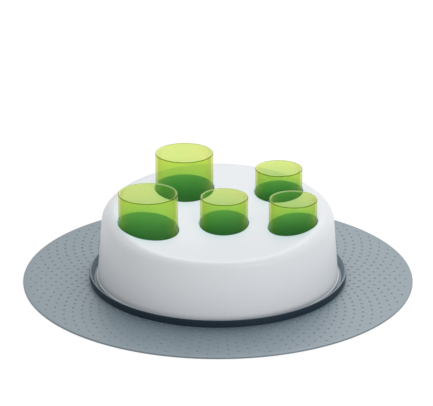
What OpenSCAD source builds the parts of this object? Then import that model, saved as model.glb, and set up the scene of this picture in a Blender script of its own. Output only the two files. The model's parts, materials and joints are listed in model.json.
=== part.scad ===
// Cat puzzle feeder: a round non-slip mat with a shallow tray, a white base that stands inside
// the tray's lip, and five clear cups that drop into wells in the base's sloping deck.
// Millimetres. The origin is the middle of the mat's underside, +Z up, front towards -Y.

/* [Mat] */
// Outside diameter of the mat
mat_d = 370; // [330:1:420]
// Thickness of the mat
mat_t = 1.8; // [1.6:0.1:4]
// Radius of the rounded outer edge of the mat
mat_edge_r = 0.7; // [0.3:0.1:0.8]
// Height of the lip above the mat
lip_h = 7.2; // [4:0.1:9]
// Thickness of the lip
lip_t = 1.8; // [1.2:0.1:3]
// How far the lip leans out from root to top
lip_flare = 2.8; // [0:0.1:4]
// Gap all round between the foot of the base and the root of the lip
lip_gap = 2; // [0.6:0.1:6]
// Height of the tray's floor, inside the lip, above the mat
tray_h = 1; // [0.4:0.1:3]

/* [Base] */
// Outside diameter of the base wall at its foot
base_d = 229; // [215:1:245]
// Wall thickness of the base and its deck
base_wall = 2.6; // [1.8:0.1:3.4]
// Inward lean of the base wall, in degrees
wall_draft = 4.9; // [1:0.1:7]
// How far the bead round the foot stands out
bead_out = 0.9; // [0.4:0.1:1.4]
// Height of the bead round the foot
bead_h = 2.4; // [1.8:0.1:5]

/* [Deck] */
// Height of the middle of the deck above the underside of the mat
deck_z = 69.7; // [62:0.1:82]
// Upward slope of the deck from front to back, in degrees
deck_pitch = 4.1; // [2:0.1:8]
// Depth of the hollow at the front of the deck
dish_depth = 8.2; // [2:0.1:10]
// Half the width of the hollow
dish_half_w = 83; // [65:1:110]
// Distance of the hollow's lowest point in front of the middle
dish_front = 41.5; // [20:0.5:60]
// Length over which the hollow fades out, front to back
dish_fade = 62.5; // [45:0.5:90]
// Rounding of the deck's edge at the front
edge_front_r = 5; // [4.5:0.1:8]
// Rounding of the deck's edge at the back
edge_back_r = 7; // [4.5:0.1:12]
// Rounding of the deck's edge at the sides
edge_side_r = 12.5; // [6:0.1:15]

/* [Cups] */
// Outside diameter of the two large cups
large_cup_d = 55.6; // [48:0.1:60]
// Outside diameter of the three small cups
small_cup_d = 45; // [38:0.1:50]
// Wall thickness of a cup
cup_wall = 1.8; // [1.2:0.1:2.4]
// Floor thickness of a cup
cup_floor = 2.2; // [1.4:0.1:4]
// Inside rounding between a cup's wall and its floor
cup_corner_r = 6; // [3:0.1:10]
// Outside rounding at the foot of a cup
cup_foot_r = 2.4; // [1:0.1:4]
// Height of the front left cup's rim above the deck at its axis
front_left_rise = 33.1; // [20:0.1:45]
// Height of the front right cup's rim above the deck at its axis
front_right_rise = 25.4; // [20:0.1:45]
// Height of the centre cup's rim above the deck at its axis
centre_rise = 26.8; // [20:0.1:45]
// Height of the rear left cup's rim above the deck at its axis
rear_left_rise = 35.7; // [20:0.1:45]
// Height of the rear right cup's rim above the deck at its axis
rear_right_rise = 23.6; // [20:0.1:45]

/* [Layout] */
// Width of deck between the front left hole and the base's wall
front_left_margin = 8.2; // [5:0.1:14]
// Bearing of the front left cup from +X, in degrees
front_left_bearing = 205.9; // [196:0.1:216]
// Width of deck between the front right hole and the base's wall
front_right_margin = 10.1; // [5:0.1:14]
// Bearing of the front right cup from +X, in degrees
front_right_bearing = 337.8; // [328:0.1:348]
// Distance of the centre cup from the base's axis
centre_offset = 17.3; // [0:0.1:24]
// Bearing of the centre cup from +X, in degrees
centre_bearing = 289.3; // [260:0.1:310]
// Width of deck between the rear left hole and the base's wall
rear_left_margin = 21.2; // [5:0.1:26]
// Bearing of the rear left cup from +X, in degrees
rear_left_bearing = 123.1; // [112:0.1:134]
// Width of deck between the rear right hole and the base's wall
rear_right_margin = 14.3; // [5:0.1:22]
// Bearing of the rear right cup from +X, in degrees
rear_right_bearing = 35.1; // [25:0.1:50]

/* [Wells] */
// Gap all round between a cup and its well
well_gap = 0.8; // [0.4:0.1:1.2]
// Wall thickness of a well
well_wall = 2.2; // [1.6:0.1:3]
// Width of the ledge that a cup stands on
ledge_w = 4.5; // [3:0.1:7]
// Thickness of the ledge that a cup stands on
ledge_t = 2.6; // [1.6:0.1:4]

/* [Hidden] */

// Facets of the round solids, and of the base's lofted skin round its axis
$fn = 96;
loft_steps = 96;
// Steps of a rounding's quarter turn, and rings across the deck
round_steps = 6;
deck_rings = 6;
// Steps that settle where the edge's rounding meets the deck
settle_steps = 3;
// Length by which a cutting solid runs past the face that it opens
cut = 1;

// The base stands on the floor of the mat's tray
base_r = base_d / 2;
foot_z = mat_t + tray_h;
// Radius of the base's wall at the height of the deck's middle, which the cups line up with
deck_r = base_r - (deck_z - foot_z) * tan(wall_draft);

// A cup's place on the plan, as [distance from the base's axis, bearing from +X]
function beside_edge(margin, cup_d, bearing) = [deck_r - margin - well_gap - cup_d / 2, bearing];
front_left_at = beside_edge(front_left_margin, large_cup_d, front_left_bearing);
front_right_at = beside_edge(front_right_margin, small_cup_d, front_right_bearing);
centre_at = [centre_offset, centre_bearing];
rear_left_at = beside_edge(rear_left_margin, large_cup_d, rear_left_bearing);
rear_right_at = beside_edge(rear_right_margin, small_cup_d, rear_right_bearing);

// Each cup: [place on the deck, outside diameter, rim above the deck]
front_left = [front_left_at, large_cup_d, front_left_rise];
front_right = [front_right_at, small_cup_d, front_right_rise];
centre = [centre_at, small_cup_d, centre_rise];
rear_left = [rear_left_at, large_cup_d, rear_left_rise];
rear_right = [rear_right_at, small_cup_d, rear_right_rise];
cups = [front_left, front_right, centre, rear_left, rear_right];

cup_z = foot_z + ledge_t;
lip_root_r = base_r + bead_out + lip_gap;

mat_colour = [0.52, 0.57, 0.60];
base_colour = [0.94, 0.95, 0.96];
cup_colour = [0.55, 0.75, 0.10, 0.6];

// Points of an arc in a profile
function arc(centre, r, from, to, steps) =
    [for (i = [0:steps]) centre + r * polar(from + (to - from) * i / steps)];
function polar(a) = [cos(a), sin(a)];

// The place of a cup's axis on the plan
function axis_of(cup) = cup[0][0] * polar(cup[0][1]);

// Height of the deck's top face at a point of the plan: a slope with a shallow hollow
function deck_at(p) =
    deck_z + p.y * tan(deck_pitch)
    - dish_depth * (1 - pow(p.x / dish_half_w, 2)) * exp(-pow((p.y + dish_front) / dish_fade, 2));

// Radius of the base's wall at a height
function wall_r(z) = base_r - (z - foot_z) * tan(wall_draft);

// Rounding of the deck's edge at a bearing: full at the sides, less to the front and back
function edge_r(a) =
    edge_side_r + ((sin(a) < 0 ? edge_front_r : edge_back_r) - edge_side_r) * pow(sin(a), 2);

// Slope of the deck along a bearing, at a distance from the axis
function deck_slope(a, r) =
    let (p = r * polar(a), side = p.x / dish_half_w, fade = (p.y + dish_front) / dish_fade)
    sin(a) * tan(deck_pitch)
    + 2 * dish_depth * exp(-fade * fade)
      * (side * cos(a) / dish_half_w + (1 - side * side) * fade * sin(a) / dish_fade);

// Rounding of the deck's edge at a bearing, tangent to the wall and to the deck, settled step by step
// from a first guess of where it meets the deck: [radius, distance of its centre from the axis,
// height of its centre, slope of the deck there, distance from the axis where it meets the deck]
function crest(a, end, steps) =
    let (r = edge_r(a), m = deck_slope(a, end), lean = norm([1, m]),
         level = deck_at(end * polar(a)) - m * end - r * lean,
         c = (wall_r(level) - r / cos(wall_draft)) / (1 + m * tan(wall_draft)),
         meet = c - r * m / lean)
    steps == 0 ? [r, c, level + m * c, m, meet] : crest(a, meet, steps - 1);
function crest_at(a) = crest(a, deck_r - edge_r(a), settle_steps);

// Profile of the base from the deck's edge in to its axis at one bearing, as [radius, height].
// An inset moves it in by a wall's thickness. The inner skin runs straight down past the foot.
function edge_profile(a, inset) =
    let (k = crest_at(a))
    arc([k[1], k[2]], k[0] - inset, wall_draft, 90 + atan(k[3]), round_steps);
function deck_profile(a, inset) =
    let (end = crest_at(a)[4])
    [for (i = [deck_rings - 1:-1:1])
        let (r = end * i / deck_rings) [r, deck_at(r * polar(a)) - inset]];
function outer_profile(a) = concat(
    [[base_r + bead_out, foot_z], [base_r + bead_out, foot_z + bead_h - bead_out],
     [wall_r(foot_z + bead_h), foot_z + bead_h]],
    edge_profile(a, 0), deck_profile(a, 0));
function inner_profile(a) = concat(
    [[base_r - base_wall, foot_z - cut], [base_r - base_wall, foot_z]],
    edge_profile(a, base_wall), deck_profile(a, base_wall));

// A solid lofted round the Z axis through profiles that run from its flat foot to its top
module loft(profiles, top) {
    n = len(profiles);
    m = len(profiles[0]);
    points = concat(
        [for (i = [0:n - 1]) for (p = profiles[i]) concat(p[0] * polar(i * 360 / n), p[1])],
        [[0, 0, top]]);
    faces = concat(
        [for (i = [0:n - 1]) for (j = [0:m - 2]) for (half = [0, 1])
            let (a = i * m + j, b = ((i + 1) % n) * m + j)
            half == 0 ? [a, a + 1, b + 1] : [a, b + 1, b]],
        [[for (i = [0:n - 1]) i * m]],
        [for (i = [0:n - 1]) [n * m, ((i + 1) % n) * m + m - 1, i * m + m - 1]]);
    polyhedron(points, faces);
}

module outer_skin() {
    loft([for (i = [0:loft_steps - 1]) outer_profile(i * 360 / loft_steps)], deck_at([0, 0]));
}

module inner_skin() {
    loft([for (i = [0:loft_steps - 1]) inner_profile(i * 360 / loft_steps)],
         deck_at([0, 0]) - base_wall);
}

// Upright cylinder on a cup's axis
module post(cup, r, from, to) {
    p = axis_of(cup);
    translate([p.x, p.y, from]) cylinder(r = r, h = to - from);
}

function well_r(cup) = cup[1] / 2 + well_gap;
function rim_z(cup) = deck_at(axis_of(cup)) + cup[2];

module base_shell() {
    color(base_colour)
    difference() {
        outer_skin();
        difference() {
            inner_skin();
            for (cup = cups) post(cup, well_r(cup) + well_wall, foot_z, rim_z(cup));
        }
        for (cup = cups) {
            post(cup, well_r(cup), cup_z, rim_z(cup));
            post(cup, well_r(cup) - ledge_w, foot_z - cut, cup_z + cut);
        }
    }
}

// A cup is a turned shape: rounded foot, straight wall, round rim, rounded inside corner
module cup(cup) {
    r = cup[1] / 2;
    h = rim_z(cup) - cup_z;
    rim = cup_wall / 2;
    p = axis_of(cup);
    color(cup_colour)
    translate([p.x, p.y, cup_z]) rotate_extrude()
    polygon(concat(
        [[0, 0]],
        arc([r - cup_foot_r, cup_foot_r], cup_foot_r, -90, 0, round_steps),
        arc([r - rim, h - rim], rim, 0, 180, 2 * round_steps),
        arc([r - cup_wall - cup_corner_r, cup_floor + cup_corner_r], cup_corner_r, 0, -90, round_steps),
        [[0, cup_floor]]));
}

// The mat is a turned shape: a flat disc with a rounded edge, and a tray with a lip that leans out
module mat() {
    r = mat_d / 2;
    e = mat_edge_r;
    top = mat_t + lip_h;
    half = lip_t / 2;
    color(mat_colour)
    rotate_extrude()
    polygon(concat(
        [[0, 0]],
        arc([r - e, e], e, -90, 0, round_steps),
        arc([r - e, mat_t - e], e, 0, 90, round_steps),
        [[lip_root_r + lip_t, mat_t]],
        arc([lip_root_r + lip_flare + half, top - half], half, 0, 180, 2 * round_steps),
        [[lip_root_r, foot_z], [0, foot_z]]));
}

mat();
base_shell();
cup(front_left);  // front_left_cup
cup(front_right);  // front_right_cup
cup(centre);  // centre_cup
cup(rear_left);  // rear_left_cup
cup(rear_right);  // rear_right_cup
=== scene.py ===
# %% [markdown]
# # A cat's puzzle feeder
# Food goes into five clear cups, and the cat has to hook it out with a paw. The cups drop into a white
# base with a hollowed deck, and the base stands inside a low lip on a round rubber mat. The engineering
# model fixes every size and every joint. This lesson models the surfaces that an owner sees: smooth
# mouldings, rounded hole edges, a dimpled mat, clear tinted plastic and soft light.

import json
import math

import bmesh
import bpy
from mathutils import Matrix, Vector
from mathutils.geometry import delaunay_2d_cdt

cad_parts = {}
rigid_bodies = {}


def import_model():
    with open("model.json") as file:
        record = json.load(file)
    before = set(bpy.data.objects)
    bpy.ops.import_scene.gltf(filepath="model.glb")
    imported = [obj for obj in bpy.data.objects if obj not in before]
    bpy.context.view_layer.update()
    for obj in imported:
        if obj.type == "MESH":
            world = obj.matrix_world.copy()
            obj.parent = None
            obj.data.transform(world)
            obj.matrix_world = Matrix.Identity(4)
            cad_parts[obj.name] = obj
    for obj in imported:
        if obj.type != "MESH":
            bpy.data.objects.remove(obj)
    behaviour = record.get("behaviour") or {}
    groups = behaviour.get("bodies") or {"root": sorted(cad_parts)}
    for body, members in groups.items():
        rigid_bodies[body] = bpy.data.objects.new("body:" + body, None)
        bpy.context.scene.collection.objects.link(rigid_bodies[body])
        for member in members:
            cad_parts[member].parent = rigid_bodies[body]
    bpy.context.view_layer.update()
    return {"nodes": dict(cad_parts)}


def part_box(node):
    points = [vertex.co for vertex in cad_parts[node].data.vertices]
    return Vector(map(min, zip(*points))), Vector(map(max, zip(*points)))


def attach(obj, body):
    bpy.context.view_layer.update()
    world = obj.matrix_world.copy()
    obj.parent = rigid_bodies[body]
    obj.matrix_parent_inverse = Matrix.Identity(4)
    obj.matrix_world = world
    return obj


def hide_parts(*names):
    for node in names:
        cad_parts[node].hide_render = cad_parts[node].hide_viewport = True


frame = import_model()
MM = 0.001
print("nodes:", ", ".join(sorted(frame["nodes"])))

# %% [markdown]
# ## Camera
# The feeder is seen from the front and a little above, through a long lens that hardly tapers it. A
# camera could be turned by hand until the picture fits. Here its distance, height and focal length are
# given, and it is aimed so that the middle of the mat's underside lands on its own pixel.

# %% Camera
IMAGE_W, IMAGE_H = 433, 406
FOCAL_PX = 2307
SENSOR_MM = 36
EYE_DISTANCE = 2.2
EYE_ELEVATION = math.radians(23.1)
ORIGIN_PX = Vector((217.9, 276.8))

eye = EYE_DISTANCE * Vector((0, -math.cos(EYE_ELEVATION), math.sin(EYE_ELEVATION)))
eye_up = Vector((0, math.sin(EYE_ELEVATION), math.cos(EYE_ELEVATION)))
eye_right = Vector((1, 0, 0))
off_centre = (ORIGIN_PX - Vector((IMAGE_W, IMAGE_H)) / 2) * EYE_DISTANCE / FOCAL_PX
aim = eye_up * off_centre.y - eye_right * off_centre.x

bpy.ops.object.select_all(action="DESELECT")
bpy.ops.object.camera_add(location=eye, rotation=(aim - eye).to_track_quat("-Z", "Y").to_euler())
camera = bpy.context.object
camera.data.sensor_width = SENSOR_MM
camera.data.lens = SENSOR_MM * FOCAL_PX / IMAGE_W
bpy.context.scene.camera = camera
bpy.context.scene.view_settings.view_transform = "Standard"
print("lens in mm:", round(camera.data.lens, 1))

# %% [markdown]
# ## Shader sums
# A finish is a small sum of noises, masks and colours. Drawn node by node it is hard to read, so one
# class stands for a socket: adding or multiplying two of them adds a Math node, and `make` adds any other
# node.

# %% Shader sums
class Socket:
    """An output socket of a node tree that takes part in Python sums."""

    def __init__(self, tree, output):
        self.tree = tree
        self.output = output

    def math(self, operation, first, second):
        return make(self.tree, "ShaderNodeMath", {"operation": operation}, {0: first, 1: second})

    def __add__(self, other):
        return self.math("ADD", self, other)

    def __sub__(self, other):
        return self.math("SUBTRACT", self, other)

    def __rsub__(self, other):
        return self.math("SUBTRACT", other, self)

    def __mul__(self, other):
        return self.math("MULTIPLY", self, other)

    def __truediv__(self, other):
        return self.math("DIVIDE", self, other)

    def __pow__(self, other):
        return self.math("POWER", self, other)

    def __rpow__(self, other):
        return self.math("POWER", other, self)

    def largest(self, other):
        return self.math("MAXIMUM", self, other)

    __radd__ = __add__
    __rmul__ = __mul__


def make(tree, kind, settings=None, sockets=None, output=0):
    """Adds a node, makes its settings, fills or links its sockets, and gives one of its outputs."""
    node = tree.nodes.new(kind)
    for name, value in (settings or {}).items():
        setattr(node, name, value)
    for name, value in (sockets or {}).items():
        if isinstance(value, Socket):
            tree.links.new(value.output, node.inputs[name])
        else:
            node.inputs[name].default_value = value
    return Socket(tree, node.outputs[output]) if node.outputs else None


def noise(place, scale, detail):
    """A soft noise over a place, of a scale and a detail."""
    return make(place.tree, "ShaderNodeTexNoise", None, {"Vector": place, "Scale": scale, "Detail": detail})


def clamp(value):
    """The value, held between 0 and 1."""
    return make(value.tree, "ShaderNodeClamp", None, {"Value": value})


MIX_FIRST, MIX_SECOND, MIX_RESULT = 6, 7, 2


def mix_colours(share, first, second):
    """A colour that goes from the first to the second as the share goes from 0 to 1."""
    colours = {0: share, MIX_FIRST: first, MIX_SECOND: second}
    return make(share.tree, "ShaderNodeMix", {"data_type": "RGBA"}, colours, MIX_RESULT)


def mix_shaders(share, first, second):
    """A shader that goes from the first to the second as the share goes from 0 to 1."""
    return make(share.tree, "ShaderNodeMixShader", None, {0: share, 1: first, 2: second})


def ray_is(tree, kind):
    """1 for rays of one kind, and 0 for all others."""
    return make(tree, "ShaderNodeLightPath", None, None, kind)


def new_finish(name):
    """A material with an empty tree, and its Object coordinates."""
    finish = bpy.data.materials.new(name)
    finish.use_nodes = True
    finish.node_tree.nodes.clear()
    return finish, make(finish.node_tree, "ShaderNodeTexCoord", None, None, "Object")


print("shader sums ready")

# %% [markdown]
# ## Room and floor
# A product picture is taken on a white sweep in a pale room. A curved backdrop would do the same, but a
# flat floor that shades into a white room needs no horizon to hide. Both are white to the eye and to
# mirrors, while only their plain level lights the plastic. The floor keeps part of its true shade, so a
# shadow stays.

# %% Room and floor
WHITE = (1, 1, 1, 1)
ROOM_LIGHT = 0.54
FLOOR_GREY = (0.97, 0.97, 0.97, 1)
FLOOR_SHADE = (0.13, 0.13, 0.13, 1)
FLOOR_SIZE = 14
FLOOR_DROP = 0.2 * MM
FLOOR_OWN_WHITE = 0.9


def seen_directly(tree):
    """1 for rays from the eye, from a mirror or through a clear wall, and 0 for rays that light."""
    return ray_is(tree, "Is Camera Ray").largest(
        ray_is(tree, "Is Glossy Ray").largest(ray_is(tree, "Is Transmission Ray")))


room = bpy.data.worlds.new("pale_room")
room.use_nodes = True
room.node_tree.nodes.clear()
room_light = make(room.node_tree, "ShaderNodeBackground", None, {"Color": WHITE, "Strength": ROOM_LIGHT})
room_seen = make(room.node_tree, "ShaderNodeBackground", None, {"Color": WHITE, "Strength": 1})
room_shader = mix_shaders(seen_directly(room.node_tree), room_light, room_seen)
make(room.node_tree, "ShaderNodeOutputWorld", None, {"Surface": room_shader})
bpy.context.scene.world = room

bpy.ops.object.select_all(action="DESELECT")
bpy.ops.mesh.primitive_plane_add(size=FLOOR_SIZE, location=(0, 0, -FLOOR_DROP))
floor = bpy.context.object
floor.name = "floor"
floor_finish, _ = new_finish("white_floor")
floor_tree = floor_finish.node_tree
floor_lit = make(floor_tree, "ShaderNodeBsdfDiffuse", None, {"Color": FLOOR_GREY})
floor_shade = make(floor_tree, "ShaderNodeBsdfDiffuse", None, {"Color": FLOOR_SHADE})
floor_white = make(floor_tree, "ShaderNodeEmission", None, {"Color": WHITE, "Strength": FLOOR_OWN_WHITE})
floor_seen = make(floor_tree, "ShaderNodeAddShader", None, {0: floor_white, 1: floor_shade})
floor_shader = mix_shaders(seen_directly(floor_tree), floor_lit, floor_seen)
make(floor_tree, "ShaderNodeOutputMaterial", None, {"Surface": floor_shader})
floor.data.materials.append(floor_finish)
print("floor of", FLOOR_SIZE, "m")

# %% [markdown]
# ## Softboxes
# Two broad lamps give the soft light of a studio. One hangs above and behind the feeder, so the deck and
# the cups' far walls are bright. A low one stands at the front right and lights the upright wall more
# than the flat mat. Small lamps would leave hard shadows, which this picture doesn't have.

# %% Softboxes
LIT_POINT = Vector((0, 0, 0.05))
BACK_PLACE = (0.35, 1.1, 1.5)
BACK_SIZE = 1.4
BACK_POWER = 16.5
FRONT_PLACE = (1.4, -2.0, 0.75)
FRONT_SIZE = 1.2
FRONT_POWER = 16


def softbox(name, place, size, power):
    """A square lamp that faces the feeder."""
    place = Vector(place)
    turn = (LIT_POINT - place).to_track_quat("-Z", "Y").to_euler()
    bpy.ops.object.light_add(type="AREA", location=place, rotation=turn)
    lamp = bpy.context.object
    lamp.name = name
    lamp.data.size = size
    lamp.data.energy = power
    return lamp


softbox("back_softbox", BACK_PLACE, BACK_SIZE, BACK_POWER)
softbox("front_softbox", FRONT_PLACE, FRONT_SIZE, FRONT_POWER)

# %% [markdown]
# ## Rings
# Every piece here is turned or lofted round an upright axis. A lathe (Spin) would do for the cups, but
# the deck's edge rises and falls, so one way is used for all: a ring of points is extruded from the last
# one, and each of its points is pulled along its own bearing to the distance and height that the section
# gives there.

# %% Rings
WELD = 0.02 * MM
AXIS = Vector((0, 0))
TURN_SIDES = 128


def pull_ring(section, centre):
    """Moves each selected point along its bearing from the centre to the section's distance and height."""
    shape = bmesh.from_edit_mesh(bpy.context.object.data)
    for point in shape.verts:
        if point.select:
            bearing = math.atan2(point.co.y - centre.y, point.co.x - centre.x)
            distance, height = section(bearing)
            point.co = (centre.x + distance * math.cos(bearing),
                        centre.y + distance * math.sin(bearing), height)
    bmesh.update_edit_mesh(bpy.context.object.data)


def stack_rings(name, sides, sections, centre):
    """A skin through rings of points, left open at its first and last ring."""
    bpy.ops.object.select_all(action="DESELECT")
    bpy.ops.mesh.primitive_circle_add(vertices=sides, radius=1, location=(centre.x, centre.y, 0))
    piece = bpy.context.object
    piece.name = name
    bpy.ops.object.transform_apply(location=True)
    bpy.ops.object.mode_set(mode="EDIT")
    bpy.ops.mesh.select_all(action="SELECT")
    pull_ring(sections[0], centre)
    for section in sections[1:]:
        bpy.ops.mesh.extrude_region()
        pull_ring(section, centre)
    bpy.ops.object.mode_set(mode="OBJECT")
    return piece


def even(distance, height):
    """The section of a turned ring: the same at every bearing."""
    return lambda bearing: (distance, height)


def arc(centre, radius, start, end, steps):
    """Points of an arc in a profile, as (distance, height), with its angles in degrees."""
    angles = [math.radians(start + (end - start) * step / steps) for step in range(steps + 1)]
    return [(centre[0] + radius * math.cos(a), centre[1] + radius * math.sin(a)) for a in angles]


def finish_mesh(piece, sharp_angle):
    """Closes the piece, points its faces outwards and smooths what bends less than the sharp angle."""
    bpy.ops.object.select_all(action="DESELECT")
    bpy.context.view_layer.objects.active = piece
    piece.select_set(True)
    bpy.ops.object.mode_set(mode="EDIT")
    bpy.ops.mesh.select_all(action="SELECT")
    bpy.ops.mesh.remove_doubles(threshold=WELD)
    bpy.ops.mesh.fill_holes(sides=0)
    bpy.ops.mesh.select_all(action="SELECT")
    bpy.ops.mesh.normals_make_consistent(inside=False)
    bpy.ops.object.mode_set(mode="OBJECT")
    bpy.ops.object.shade_smooth_by_angle(angle=math.radians(sharp_angle))
    print(piece.name, "has", len(piece.data.polygons), "faces")


print("ring tools ready")

# %% [markdown]
# ## The base's form
# The base is one white moulding: a wall that leans in, a crest that rounds it off, and a deck that slopes
# up to the back with a shallow hollow at the front. It could be sculpted from a cylinder, but then the
# cups' holes would not sit right. Instead the deck is a formula of height over the plan, with the
# engineering model's own sizes, and the crest is an arc that touches the wall and the deck at every
# bearing.

# %% Deck, wall and crest
base_low, base_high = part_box("base_shell")
FOOT_Z = base_low.z
BEAD_OUT = 0.9 * MM
BEAD_H = 2.4 * MM
BASE_R = (base_high.x - base_low.x) / 2 - BEAD_OUT
WALL_T = 2.6 * MM
WALL_DRAFT = 4.9
WALL_LEAN = math.tan(math.radians(WALL_DRAFT))
DECK_Z = 69.7 * MM
DECK_RISE = math.tan(math.radians(4.1))
DISH_DEPTH = 8.2 * MM
DISH_HALF_W = 83 * MM
DISH_FRONT = 41.5 * MM
DISH_FADE = 62.5 * MM
EDGE_FRONT_R = 5 * MM
EDGE_BACK_R = 7 * MM
EDGE_SIDE_R = 12.5 * MM
SETTLE_STEPS = 4
FRONT, RIGHT, BACK = (math.radians(bearing) for bearing in (270, 0, 90))


def toward(bearing, distance):
    """A step in the plan, along a bearing."""
    return distance * Vector((math.cos(bearing), math.sin(bearing)))


def deck_over(x, y):
    """Height of the deck over a place in the plan, for numbers and for shader sums alike."""
    hollow = (1 - (x / DISH_HALF_W) ** 2) * math.e ** (0 - ((y + DISH_FRONT) / DISH_FADE) ** 2)
    return DECK_Z + y * DECK_RISE - DISH_DEPTH * hollow


def deck_at(p):
    """Height of the deck over a point of the plan."""
    return deck_over(p.x, p.y)


def deck_slope(bearing, distance):
    """How fast the deck climbs along a bearing, at a distance from the axis."""
    p = toward(bearing, distance)
    side = p.x / DISH_HALF_W
    fade = (p.y + DISH_FRONT) / DISH_FADE
    across = side * math.cos(bearing) / DISH_HALF_W
    along = (1 - side ** 2) * fade * math.sin(bearing) / DISH_FADE
    return math.sin(bearing) * DECK_RISE + 2 * DISH_DEPTH * math.exp(-fade ** 2) * (across + along)


def wall_r(z):
    """Radius of the leaning wall at a height."""
    return BASE_R - (z - FOOT_Z) * WALL_LEAN


def crest(bearing):
    """The crest's arc at a bearing: radius, centre's distance and height, and the deck's slope there."""
    side = math.sin(bearing)
    end_r = EDGE_FRONT_R if side < 0 else EDGE_BACK_R
    r = EDGE_SIDE_R + (end_r - EDGE_SIDE_R) * side ** 2
    meet = wall_r(DECK_Z) - r
    for _ in range(SETTLE_STEPS):
        slope = deck_slope(bearing, meet)
        lean = math.hypot(1, slope)
        level = deck_at(toward(bearing, meet)) - slope * meet - r * lean
        distance = (wall_r(level) - r / math.cos(math.radians(WALL_DRAFT))) / (1 + slope * WALL_LEAN)
        meet = distance - r * slope / lean
    return r, distance, level + slope * distance, slope


def crest_top(bearing):
    """Height of the crest's highest point at a bearing."""
    r, _, height, _ = crest(bearing)
    return height + r


def skin_at(p, inset):
    """Height of the deck, crest included, over a point of the plan; inset by a wall for the underside."""
    r, distance, height, slope = crest(math.atan2(p.y, p.x))
    r -= inset
    if p.length <= distance - r * slope / math.hypot(1, slope):
        return deck_at(p) - inset
    return height + math.sqrt(r * r - (p.length - distance) ** 2)


print("deck at its middle, mm:", round(deck_at(AXIS) / MM, 2))
crest_tops = [round(crest_top(bearing) / MM, 2) for bearing in (FRONT, RIGHT, BACK)]
print("crest at the front, right and back, mm:", crest_tops)

# %% [markdown]
# ## Wall of the base
# One stack of rings runs from the crest down the outside, round the bead at the foot and up the inside.
# Both ends stop on the crest, where the wall's rings hand over to the deck's sheet.

# %% Wall of the base
LOFT_SIDES = 192
CREST_STEPS = 8
OUTER_SPLIT = 40
INNER_SPLIT = 25
FOOT_ROUND = 0.4 * MM
BEAD_STEPS = 5


def crest_section(angle, inset):
    """The ring that cuts the crest's arc at an angle above level, inset by a wall for the inner skin."""
    def section(bearing):
        r, distance, height, _ = crest(bearing)
        a = math.radians(angle)
        return distance + (r - inset) * math.cos(a), height + (r - inset) * math.sin(a)
    return section


def angles_between(start, end, steps):
    """Evenly spaced angles from the start to the end, both included."""
    return [start + (end - start) * step / steps for step in range(steps + 1)]


bead_top = FOOT_Z + BEAD_H
bead_r = BASE_R + BEAD_OUT
foot_profile = [(wall_r(bead_top), bead_top)]
foot_profile += arc((BASE_R, bead_top - BEAD_OUT), BEAD_OUT, 90, 0, BEAD_STEPS)
foot_profile += arc((bead_r - FOOT_ROUND, FOOT_Z + FOOT_ROUND), FOOT_ROUND, 0, -90, BEAD_STEPS)
foot_profile += [(BASE_R - WALL_T, FOOT_Z)]

wall_sections = [crest_section(a, 0) for a in angles_between(OUTER_SPLIT, WALL_DRAFT, CREST_STEPS)]
wall_sections += [even(distance, height) for distance, height in foot_profile]
wall_sections += [crest_section(a, WALL_T) for a in angles_between(WALL_DRAFT, INNER_SPLIT, CREST_STEPS)]
base_wall = stack_rings("base_wall", LOFT_SIDES, wall_sections, AXIS)
print("wall rings:", len(wall_sections))

# %% [markdown]
# ## Wells
# Each cup drops into a well: a tube under the deck with a ledge at its foot that the cup stands on. The
# hole's edge is rounded, as on any moulding that a hand or a paw goes near. Cutting the holes with a
# Boolean would leave a ragged rim that no bevel can follow, so each well is its own stack of rings, from
# the deck's top over the rounded edge, down the tube, round the ledge and up to the deck's underside.

# %% Wells
CUP_NODES = ("front_left_cup", "front_right_cup", "centre_cup", "rear_left_cup", "rear_right_cup")
WELL_GAP = 0.8 * MM
WELL_T = 2.2 * MM
LEDGE_W = 4.5 * MM
HOLE_ROUND = 0.5 * MM
HOLE_STEPS = 6
COLLAR = 0.7 * MM
HOLE_SIDES = 96


def over_deck(centre, distance, drop, inset):
    """A ring round a well that lies on the deck, or a little below it."""
    def section(bearing):
        return distance, skin_at(centre + toward(bearing, distance), inset) - drop
    return section


class Cup:
    """A cup's axis, radius, floor and rim, taken from the engineering model."""

    def __init__(self, node):
        low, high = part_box(node)
        self.node = node
        self.axis = Vector(((low.x + high.x) / 2, (low.y + high.y) / 2))
        self.r = (high.x - low.x) / 2
        self.foot = low.z
        self.rim = high.z
        self.well_r = self.r + WELL_GAP


def well_sections(cup):
    """The rings of a cup's well, from the deck's top to its underside."""
    rounding = [math.radians(a) for a in angles_between(0, 90, HOLE_STEPS)]
    sections = [over_deck(cup.axis, cup.well_r + HOLE_ROUND + COLLAR, 0, 0)]
    for a in rounding:
        reach = cup.well_r + HOLE_ROUND * (1 - math.sin(a))
        sections.append(over_deck(cup.axis, reach, HOLE_ROUND * (1 - math.cos(a)), 0))
    sections += [even(cup.well_r, cup.foot), even(cup.well_r - LEDGE_W, cup.foot)]
    sections += [even(cup.well_r - LEDGE_W, FOOT_Z), even(cup.well_r + WELL_T, FOOT_Z)]
    sections.append(over_deck(cup.axis, cup.well_r + WELL_T, 0, WALL_T))
    return sections


cups = [Cup(node) for node in CUP_NODES]
wells = [stack_rings(cup.node + "_well", HOLE_SIDES, well_sections(cup), cup.axis) for cup in cups]
print("wells:", [(round(cup.well_r / MM, 1), round((cup.rim - cup.foot) / MM, 1)) for cup in cups])

# %% [markdown]
# ## Deck between the holes
# The deck is what is left between the crest's ring and the wells' rings. It is laid out flat, like a
# sheet with five holes punched in it: the rings are fixed edges, a lattice of points fills the space
# between, and a Delaunay triangulation ties them together. Raising each point to its height then gives
# the wavy deck. The underside is made the same way, a wall's thickness lower.

# %% Deck between the holes
LATTICE = 2.6 * MM
LATTICE_ROW = LATTICE * math.sin(math.radians(60))
LATTICE_CLEAR = 0.6 * LATTICE
SAME_POINT = 0.002 * MM
INSIDE_EDGES = 1


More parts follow.
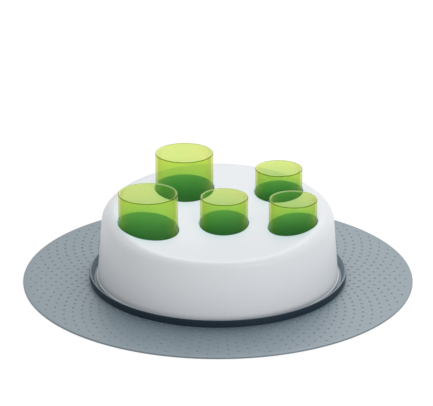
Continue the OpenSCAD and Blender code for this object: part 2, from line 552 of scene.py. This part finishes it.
def ring_plan(sides, section, centre):
    """The points of a ring, seen from above."""
    bearings = [2 * math.pi * step / sides for step in range(sides)]
    return [centre + toward(bearing, section(bearing)[0]) for bearing in bearings]


def lattice_points(edge_section, holes):
    """Points in rows that are half a step apart, clear of the crest's ring and of the holes."""
    rows = math.ceil(BASE_R / LATTICE_ROW)
    columns = math.ceil(BASE_R / LATTICE)
    points = []
    for row in range(-rows, rows + 1):
        for column in range(-columns, columns + 1):
            p = Vector(((column + row % 2 / 2) * LATTICE, row * LATTICE_ROW))
            inside = p.length < edge_section(math.atan2(p.y, p.x))[0] - LATTICE_CLEAR
            if inside and all((p - axis).length > r + LATTICE_CLEAR for axis, r in holes):
                points.append(p)
    return points


def deck_sheet(name, edge_section, holes, inset):
    """The sheet between the crest's ring and the holes, raised to the deck's height."""
    rings = [ring_plan(LOFT_SIDES, edge_section, AXIS)]
    rings += [ring_plan(HOLE_SIDES, even(r, 0), axis) for axis, r in holes]
    points = [p for ring in rings for p in ring]
    edges = []
    first = 0
    for ring in rings:
        edges += [(first + i, first + (i + 1) % len(ring)) for i in range(len(ring))]
        first += len(ring)
    points += lattice_points(edge_section, holes)
    flat, _, faces, _, _, _ = delaunay_2d_cdt(points, edges, [], INSIDE_EDGES, SAME_POINT)

    def in_sheet(face):
        middle = sum((flat[i] for i in face), Vector((0, 0))) / len(face)
        return all((middle - axis).length > r for axis, r in holes)

    mesh = bpy.data.meshes.new(name)
    mesh.from_pydata([(p.x, p.y, skin_at(p, inset)) for p in flat], [], [f for f in faces if in_sheet(f)])
    sheet = bpy.data.objects.new(name, mesh)
    bpy.context.collection.objects.link(sheet)
    return sheet


top_holes = [(cup.axis, cup.well_r + HOLE_ROUND + COLLAR) for cup in cups]
under_holes = [(cup.axis, cup.well_r + WELL_T) for cup in cups]
deck_top = deck_sheet("deck_top", crest_section(OUTER_SPLIT, 0), top_holes, 0)
deck_under = deck_sheet("deck_under", crest_section(INNER_SPLIT, WALL_T), under_holes, WALL_T)
print("deck triangles:", len(deck_top.data.polygons), "above and", len(deck_under.data.polygons), "below")

# %% [markdown]
# ## One moulding
# The wall, the two sheets of the deck and the five wells share the points of their rings. The real base
# is one moulding, so they are joined and the shared points merged, which leaves one closed skin. Only the
# corners at the foot and at the ledges stay sharp.

# %% Join the base
BASE_SHARP = 35

bpy.ops.object.select_all(action="DESELECT")
for section_piece in [deck_top, deck_under, *wells]:
    section_piece.select_set(True)
base_wall.select_set(True)
bpy.context.view_layer.objects.active = base_wall
bpy.ops.object.join()
base = bpy.context.object
base.name = "base_moulding"
finish_mesh(base, BASE_SHARP)

# %% [markdown]
# ## Cups
# A cup is a clear plastic tumbler with a straight wall, a round rim, a rounded foot and a rounded corner
# inside. It is turned from one profile. The outline is closed and has real thickness, because both faces
# of a clear wall tint the light and catch the gloss.

# %% Cups
CUP_WALL = 1.8 * MM
CUP_FLOOR = 2.2 * MM
CUP_CORNER_R = 6 * MM
CUP_FOOT_R = 2.4 * MM
CUP_STEPS = 8
CUP_SHARP = 40


def cup_profile(cup):
    """A cup's outline, from its foot up the outside, over the rim and down the inside."""
    half = CUP_WALL / 2
    corner = cup.r - CUP_WALL - CUP_CORNER_R
    profile = arc((cup.r - CUP_FOOT_R, cup.foot + CUP_FOOT_R), CUP_FOOT_R, -90, 0, CUP_STEPS)
    profile += arc((cup.r - half, cup.rim - half), half, 0, 180, CUP_STEPS)
    profile += arc((corner, cup.foot + CUP_FLOOR + CUP_CORNER_R), CUP_CORNER_R, 0, -90, CUP_STEPS)
    return profile


cup_pieces = {}
for cup in cups:
    cup_sections = [even(distance, height) for distance, height in cup_profile(cup)]
    cup_pieces[cup.node] = stack_rings(cup.node + "_clear", TURN_SIDES, cup_sections, cup.axis)
    finish_mesh(cup_pieces[cup.node], CUP_SHARP)

# %% [markdown]
# ## Mat
# The mat is a thin rubber disc with a low lip that leans out, round a slightly raised tray that the base
# stands in. Rows of small round dimples give a paw some grip. The disc is turned from a profile with a
# ring through every row of dimples.

# %% Mat disc
_, mat_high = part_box("mat")
MAT_R = mat_high.x
MAT_T = 1.8 * MM
MAT_EDGE_R = 0.7 * MM
LIP_T = 1.8 * MM
LIP_FLARE = 2.8 * MM
LIP_GAP = 2 * MM
LIP_ROOT_R = BASE_R + BEAD_OUT + LIP_GAP
MAT_LINES = 120
MAT_SIDES = 2 * MAT_LINES
DIMPLE_ROWS = 12
DIMPLE_PITCH = 4.8 * MM
FIRST_ROW_R = 125.2 * MM
LIP_FOOT = 2.4 * MM
LIP_STEPS = 10
MAT_SHARP = 40

row_radii = [FIRST_ROW_R + DIMPLE_PITCH * half_row / 2 for half_row in range(-1, 2 * DIMPLE_ROWS)]
mat_profile = arc((MAT_R - MAT_EDGE_R, MAT_EDGE_R), MAT_EDGE_R, -90, 0, BEAD_STEPS)
mat_profile += arc((MAT_R - MAT_EDGE_R, MAT_T - MAT_EDGE_R), MAT_EDGE_R, 0, 90, BEAD_STEPS)
mat_profile += [(radius, MAT_T) for radius in reversed(row_radii)]
mat_profile += [(LIP_ROOT_R + LIP_T + LIP_FOOT, MAT_T)]
lip_top = (LIP_ROOT_R + LIP_FLARE + LIP_T / 2, mat_high.z - LIP_T / 2)
mat_profile += arc(lip_top, LIP_T / 2, 0, 180, LIP_STEPS)
mat_profile += [(LIP_ROOT_R, FOOT_Z)]
mat_sections = [even(distance, height) for distance, height in mat_profile]
mat = stack_rings("mat_rubber", MAT_SIDES, mat_sections, AXIS)
print("mat rings:", len(mat_profile))

# %% [markdown]
# ## Dimples
# The dimples stand on lines from the middle, every other line half a step out, so they form a diamond
# pattern, and they grow smaller towards the edge. Over 700 copies of a modelled pit would need
# joining; here the disc's own faces are inset instead. The faces round each dimple's middle are inset
# twice, and each new ring is pulled round and down to a small bowl.

# %% Dimples
DIMPLE_R = 1.8 * MM
DIMPLE_DEPTH = 0.6 * MM
DIMPLE_SHRINK = 0.4
BOWL_SHARE = 0.7
BOWL_DEPTH = 0.75
INSET_STEP = 0.2 * MM


def dimple_near(co):
    """The middle of the dimple nearest to a point, in the plan, and the number of its row."""
    row = round((math.hypot(co.x, co.y) - FIRST_ROW_R) / DIMPLE_PITCH)
    row = min(max(row, 0), DIMPLE_ROWS - 1)
    line_step = 2 * math.pi / MAT_LINES
    line = 2 * round((math.atan2(co.y, co.x) / line_step - row % 2) / 2) + row % 2
    return toward(line * line_step, FIRST_ROW_R + DIMPLE_PITCH * row), row


def is_middle(point, odd):
    """Whether a point is the middle of a dimple, in the even or in the odd rows."""
    middle, row = dimple_near(point.co)
    return row % 2 == odd and (point.co.xy - middle).length < WELD and abs(point.co.z - MAT_T) < WELD


def pull_bowl(share, depth):
    """Pulls the selected rings to a share of the dimple's radius and depth, and leaves middles in place."""
    shape = bmesh.from_edit_mesh(mat.data)
    for point in shape.verts:
        if point.select:
            middle, row = dimple_near(point.co)
            radius = DIMPLE_R * (1 - DIMPLE_SHRINK * row / (DIMPLE_ROWS - 1))
            out = point.co.xy - middle
            if out.length > WELD:
                ring = middle + out.normalized() * radius * share
                point.co = (ring.x, ring.y, MAT_T - DIMPLE_DEPTH * depth)
    bmesh.update_edit_mesh(mat.data)


bpy.ops.object.select_all(action="DESELECT")
mat.select_set(True)
bpy.context.view_layer.objects.active = mat
bpy.ops.object.mode_set(mode="EDIT")
bpy.ops.mesh.select_mode(type="VERT")
dimple_count = 0
for odd_rows in (0, 1):
    bpy.ops.mesh.select_all(action="DESELECT")
    mat_shape = bmesh.from_edit_mesh(mat.data)
    middles = [point for point in mat_shape.verts if is_middle(point, odd_rows)]
    dimple_count += len(middles)
    for point in middles:
        point.select_set(True)
    mat_shape.select_flush_mode()
    bmesh.update_edit_mesh(mat.data)
    bpy.ops.mesh.select_more()
    bpy.ops.mesh.inset(thickness=INSET_STEP, use_boundary=True)
    pull_bowl(1, 0)
    bpy.ops.mesh.inset(thickness=INSET_STEP, use_boundary=True)
    pull_bowl(BOWL_SHARE, BOWL_DEPTH)
    bpy.ops.mesh.select_less()
    bpy.ops.transform.translate(value=(0, 0, -DIMPLE_DEPTH))
bpy.ops.object.mode_set(mode="OBJECT")
finish_mesh(mat, MAT_SHARP)
print("dimples:", dimple_count)

# %% [markdown]
# ## White plastic
# The base is glossy white plastic with a faint cool cast. A perfect white would look like paper: real
# mouldings have a little haze in their gloss and a barely uneven skin, so two soft noises vary the
# roughness and the surface, and a third shifts the white a touch.

# %% White plastic
PLASTIC_WHITE = (0.80, 0.82, 0.84, 1)
PLASTIC_COOL = (0.77, 0.79, 0.82, 1)
CAST_NOISE = (14, 2)
HAZE_NOISE = (60, 3)
PEEL_NOISE = (220, 2)
PEEL_STRENGTH = 0.05
PEEL_DEPTH = 0.2 * MM
WHITE_ROUGH = 0.30
WHITE_HAZE = 0.12
WHITE_IOR = 1.5
WHITE_SPECULAR = 0.3

white_plastic, base_place = new_finish("white_plastic")
cast = noise(base_place, *CAST_NOISE)
haze = noise(base_place, *HAZE_NOISE)
orange_peel = noise(base_place, *PEEL_NOISE)
peel_bump = make(white_plastic.node_tree, "ShaderNodeBump", None,
                 {"Strength": PEEL_STRENGTH, "Distance": PEEL_DEPTH, "Height": orange_peel}, "Normal")
plastic = make(white_plastic.node_tree, "ShaderNodeBsdfPrincipled", None, {
    "Base Color": mix_colours(cast, PLASTIC_WHITE, PLASTIC_COOL),
    "Roughness": WHITE_ROUGH + haze * WHITE_HAZE,
    "Normal": peel_bump,
    "IOR": WHITE_IOR,
    "Specular IOR Level": WHITE_SPECULAR,
})
make(white_plastic.node_tree, "ShaderNodeOutputMaterial", None, {"Surface": plastic})
base.data.materials.append(white_plastic)
print("white plastic nodes:", len(white_plastic.node_tree.nodes))

# %% [markdown]
# ## Clear green plastic
# The cups are tinted clear plastic, a little milky: one wall looks yellow-green and two walls deeper. A
# glass shader bends light in every wall and turns thin walls black at the sides, so here each face of a
# wall is a tinted film under a gloss that grows towards the sides. Where a wall is seen edge-on, a warm
# yellow-green diffuse colour is mixed in: a painted glow for light that runs along the plastic and comes
# out there. Down in their wells the cups look deep green, because little light gets there. To give that
# look the tint deepens slowly towards the foot, as painted shade, and light that crosses the plastic near
# the deck or below it turns green. Higher up lamps pass a nearly clear film, because the deck round the
# cups shows hardly any green. A sight line can cross two cups and their floors, so the renderer is
# allowed enough clear faces for that.

# %% Clear green plastic
THIN_TINT = (1, 1, 0.33)
# Deep tint of painted shade, for the dark inside of the wells.
WELL_SHADE_TINT = (0.26, 0.60, 0.20)
PALE_RISE = 20 * MM
DEEP_RUN = 38 * MM
STREAK_NOISE = (38, 2)
STREAK_SHARE = 0.15
MILK = (0.18, 0.66, 0.15, 1)
MILK_LEAST = 0.03
MILK_GROWTH = 0.12
# Painted glow at the sides of a wall seen edge-on.
SIDE_PAINTED_GLOW = (0.66, 0.60, 0.12, 1)
SIDE_SHARE = 0.45
SIDE_GROWTH = 3
LIGHT_TINT = (0.995, 1, 0.997)
WELL_TINT = (0.08, 0.52, 0.36)
WELL_RISE = 12 * MM
WELL_FADE = 22 * MM
GLOSS_LEAST = 0.008
GLOSS_GROWTH = 10
GLOSS_ROUGH = 0.05
CLEAR_FACES = 32


def film(tree, wall_tint):
    """One of the two faces of a clear wall, which share its tint."""
    face_tint = [math.sqrt(part) for part in wall_tint]
    return make(tree, "ShaderNodeBsdfTransparent", None, {"Color": (*face_tint, 1)})


def sideways(tree):
    """0 where a face looks at the eye, and 1 where it is seen edge-on."""
    return make(tree, "ShaderNodeLayerWeight", None, None, "Facing")


def glossed(tree, clear):
    """A clear finish under a gloss that grows towards the sides."""
    gloss_share = GLOSS_LEAST + (1 - GLOSS_LEAST) * sideways(tree) ** GLOSS_GROWTH
    gloss = make(tree, "ShaderNodeBsdfGlossy", None, {"Color": WHITE, "Roughness": GLOSS_ROUGH})
    return mix_shaders(gloss_share, clear, gloss)


def lights(tree):
    """1 for rays that carry light to other surfaces, and 0 for rays from the eye."""
    return ray_is(tree, "Is Shadow Ray").largest(
        ray_is(tree, "Is Diffuse Ray").largest(ray_is(tree, "Is Glossy Ray")))


clear_green, cup_place = new_finish("clear_green_plastic")
green_tree = clear_green.node_tree
x, y, z = (make(green_tree, "ShaderNodeSeparateXYZ", None, {0: cup_place}, axis) for axis in "XYZ")
below_deck = deck_over(x, y) - z
streaks = noise(cup_place, *STREAK_NOISE)
# Painted shade of the wells: the tint deepens towards the foot, from a little above the deck.
depth = clamp((below_deck + PALE_RISE) / DEEP_RUN) * (1 - STREAK_SHARE) + streaks * STREAK_SHARE
clear_wall = mix_shaders(depth, film(green_tree, THIN_TINT), film(green_tree, WELL_SHADE_TINT))
milk = make(green_tree, "ShaderNodeBsdfDiffuse", None, {"Color": MILK})
milky_wall = mix_shaders(MILK_LEAST + MILK_GROWTH * (1 - depth), clear_wall, milk)
# A painted glow: a warm yellow-green diffuse colour that grows where a wall is seen edge-on.
painted_side_glow = make(green_tree, "ShaderNodeBsdfDiffuse", None, {"Color": SIDE_PAINTED_GLOW})
painted_glow_wall = mix_shaders(SIDE_SHARE * sideways(green_tree) ** SIDE_GROWTH, milky_wall, painted_side_glow)
in_well = clamp((below_deck + WELL_RISE) / WELL_FADE)
light_film = mix_shaders(in_well, film(green_tree, LIGHT_TINT), film(green_tree, WELL_TINT))
green_wall = mix_shaders(lights(green_tree), glossed(green_tree, painted_glow_wall), light_film)
make(green_tree, "ShaderNodeOutputMaterial", None, {"Surface": green_wall})
bpy.context.scene.cycles.transparent_max_bounces = CLEAR_FACES
print("clear plastic nodes:", len(green_tree.nodes))

# %% [markdown]
# ## Rims of the cups
# Light runs along a clear wall and comes out at its rim. Seen from outside the rim is a thin dark olive
# line; its inner half catches the light and shows as a pale line, even in front of a dark well. Ray
# tracing could find that by itself only with walls that bend light, so the two halves of the rim get a
# finish of their own, and the pale line on the inner half is a painted highlight.

# %% Rims of the cups
EDGE_TINT = (0.15, 0.20, 0.02)
EDGE_ANGLE = 75
# Painted highlight: the pale line on the inner half of a rim.
RIM_PAINTED_GLINT = (0.70, 0.92, 0.36, 1)
GLINT_SHARE = 0.5
WALL_SLOT, EDGE_SLOT, GLINT_SLOT = range(3)


def rim_finish(name, tint, share):
    """A tinted film under a gloss, of which a share can be a pale diffuse colour: a painted highlight."""
    finish, _ = new_finish(name)
    tree = finish.node_tree
    pale = make(tree, "ShaderNodeBsdfDiffuse", None, {"Color": RIM_PAINTED_GLINT})
    rim = make(tree, "ShaderNodeMixShader", None, {0: share, 1: film(tree, tint), 2: pale})
    rim_wall = mix_shaders(lights(tree), glossed(tree, rim), film(tree, LIGHT_TINT))
    make(tree, "ShaderNodeOutputMaterial", None, {"Surface": rim_wall})
    return finish


def rim_slot(cup, face):
    """The finish of a face of a cup: its wall's, or that of the rim's outer or inner half."""
    outward = face.normal.xy.dot(face.center.xy - cup.axis) > 0
    if face.center.z < cup.rim - CUP_WALL / 2:
        return WALL_SLOT
    if not outward:
        return GLINT_SLOT
    return EDGE_SLOT if face.normal.z < math.sin(math.radians(EDGE_ANGLE)) else WALL_SLOT


cup_finishes = [clear_green, rim_finish("clear_green_edge", EDGE_TINT, 0),
                rim_finish("clear_green_painted_glint", THIN_TINT, GLINT_SHARE)]
for cup in cups:
    piece = cup_pieces[cup.node]
    for finish in cup_finishes:
        piece.data.materials.append(finish)
    for face in piece.data.polygons:
        face.material_index = rim_slot(cup, face)
print("cup finishes:", [finish.name for finish in cup_finishes])

# %% [markdown]
# ## Rubber
# The mat is soft satin rubber, blue-grey. Its colour drifts a little, a fine grain breaks up the sheen,
# and the dimples and the thin edge, which lie below the top face, are painted darker, as dust and as
# painted shade. The outside of the lip leans out over the mat into shade, so its faces that look outwards
# get a near-black, duller finish of their own: painted shade, which shows as a dark band under a pale top
# edge. A mask in one finish would follow that edge less well than a finish of its own on those faces.

# %% Rubber
RUBBER = (0.148, 0.207, 0.252, 1)
RUBBER_PALE = (0.176, 0.235, 0.276, 1)
# Dimples and thin edge: a darker tone for dust and painted shade.
RUBBER_DUST_AND_SHADE = (0.115, 0.160, 0.195, 1)
# Painted shade: the near-black outside of the lip, which leans out over the mat.
LIP_PAINTED_SHADE = (0.010, 0.024, 0.039, 1)
LIP_PAINTED_SHADE_DRIFT = (0.016, 0.031, 0.047, 1)
LIP_TOP_ANGLE = 55
DRIFT_NOISE = (22, 4)
GRAIN_NOISE = (1600, 2)
GRAIN_STRENGTH = 0.25
GRAIN_DEPTH = 0.1 * MM
RUBBER_ROUGH = 0.40
RUBBER_UNEVEN = 0.12
MAT_SHINE = 0.95
LIP_SHINE = 0.25


def rubber_finish(name, main, pale, dust_and_shade, shine):
    """Satin rubber whose colour drifts between two tones and is painted darker below the mat's top face, as
    dust and painted shade.
    """
    finish, place = new_finish(name)
    tree = finish.node_tree
    height = make(tree, "ShaderNodeSeparateXYZ", None, {0: place}, "Z")
    # Painted shade and dust: darker in the dimples and round the thin edge, below the top face.
    sunk_dust_and_shade = clamp((MAT_T - height) / DIMPLE_DEPTH)
    drift = noise(place, *DRIFT_NOISE)
    grain = noise(place, *GRAIN_NOISE)
    grain_bump = make(tree, "ShaderNodeBump", None,
                      {"Strength": GRAIN_STRENGTH, "Distance": GRAIN_DEPTH, "Height": grain}, "Normal")
    satin = make(tree, "ShaderNodeBsdfPrincipled", None, {
        "Base Color": mix_colours(sunk_dust_and_shade, mix_colours(drift, main, pale), dust_and_shade),
        "Roughness": RUBBER_ROUGH + drift * RUBBER_UNEVEN,
        "Normal": grain_bump,
        "Specular IOR Level": shine,
    })
    make(tree, "ShaderNodeOutputMaterial", None, {"Surface": satin})
    return finish


mat.data.materials.append(rubber_finish("blue_grey_rubber", RUBBER, RUBBER_PALE, RUBBER_DUST_AND_SHADE, MAT_SHINE))
# The outward faces of the lip get a finish of painted shade.
mat.data.materials.append(rubber_finish("lip_painted_shade_rubber", LIP_PAINTED_SHADE, LIP_PAINTED_SHADE_DRIFT, LIP_PAINTED_SHADE, LIP_SHINE))
lip_faces = 0
for face in mat.data.polygons:
    outward = face.normal.xy.dot(face.center.xy) > 0
    on_lip = face.center.z > MAT_T + WELD
    below_top = face.normal.z < math.sin(math.radians(LIP_TOP_ANGLE))
    face.material_index = int(outward and on_lip and below_top)
    lip_faces += face.material_index
print("dark faces of the lip:", lip_faces)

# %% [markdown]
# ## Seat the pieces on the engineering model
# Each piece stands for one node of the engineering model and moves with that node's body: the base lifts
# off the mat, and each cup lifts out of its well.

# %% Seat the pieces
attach(mat, "mat")
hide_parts("mat")
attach(base, "base")
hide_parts("base_shell")
for node, piece in cup_pieces.items():
    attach(piece, node)
    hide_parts(node)
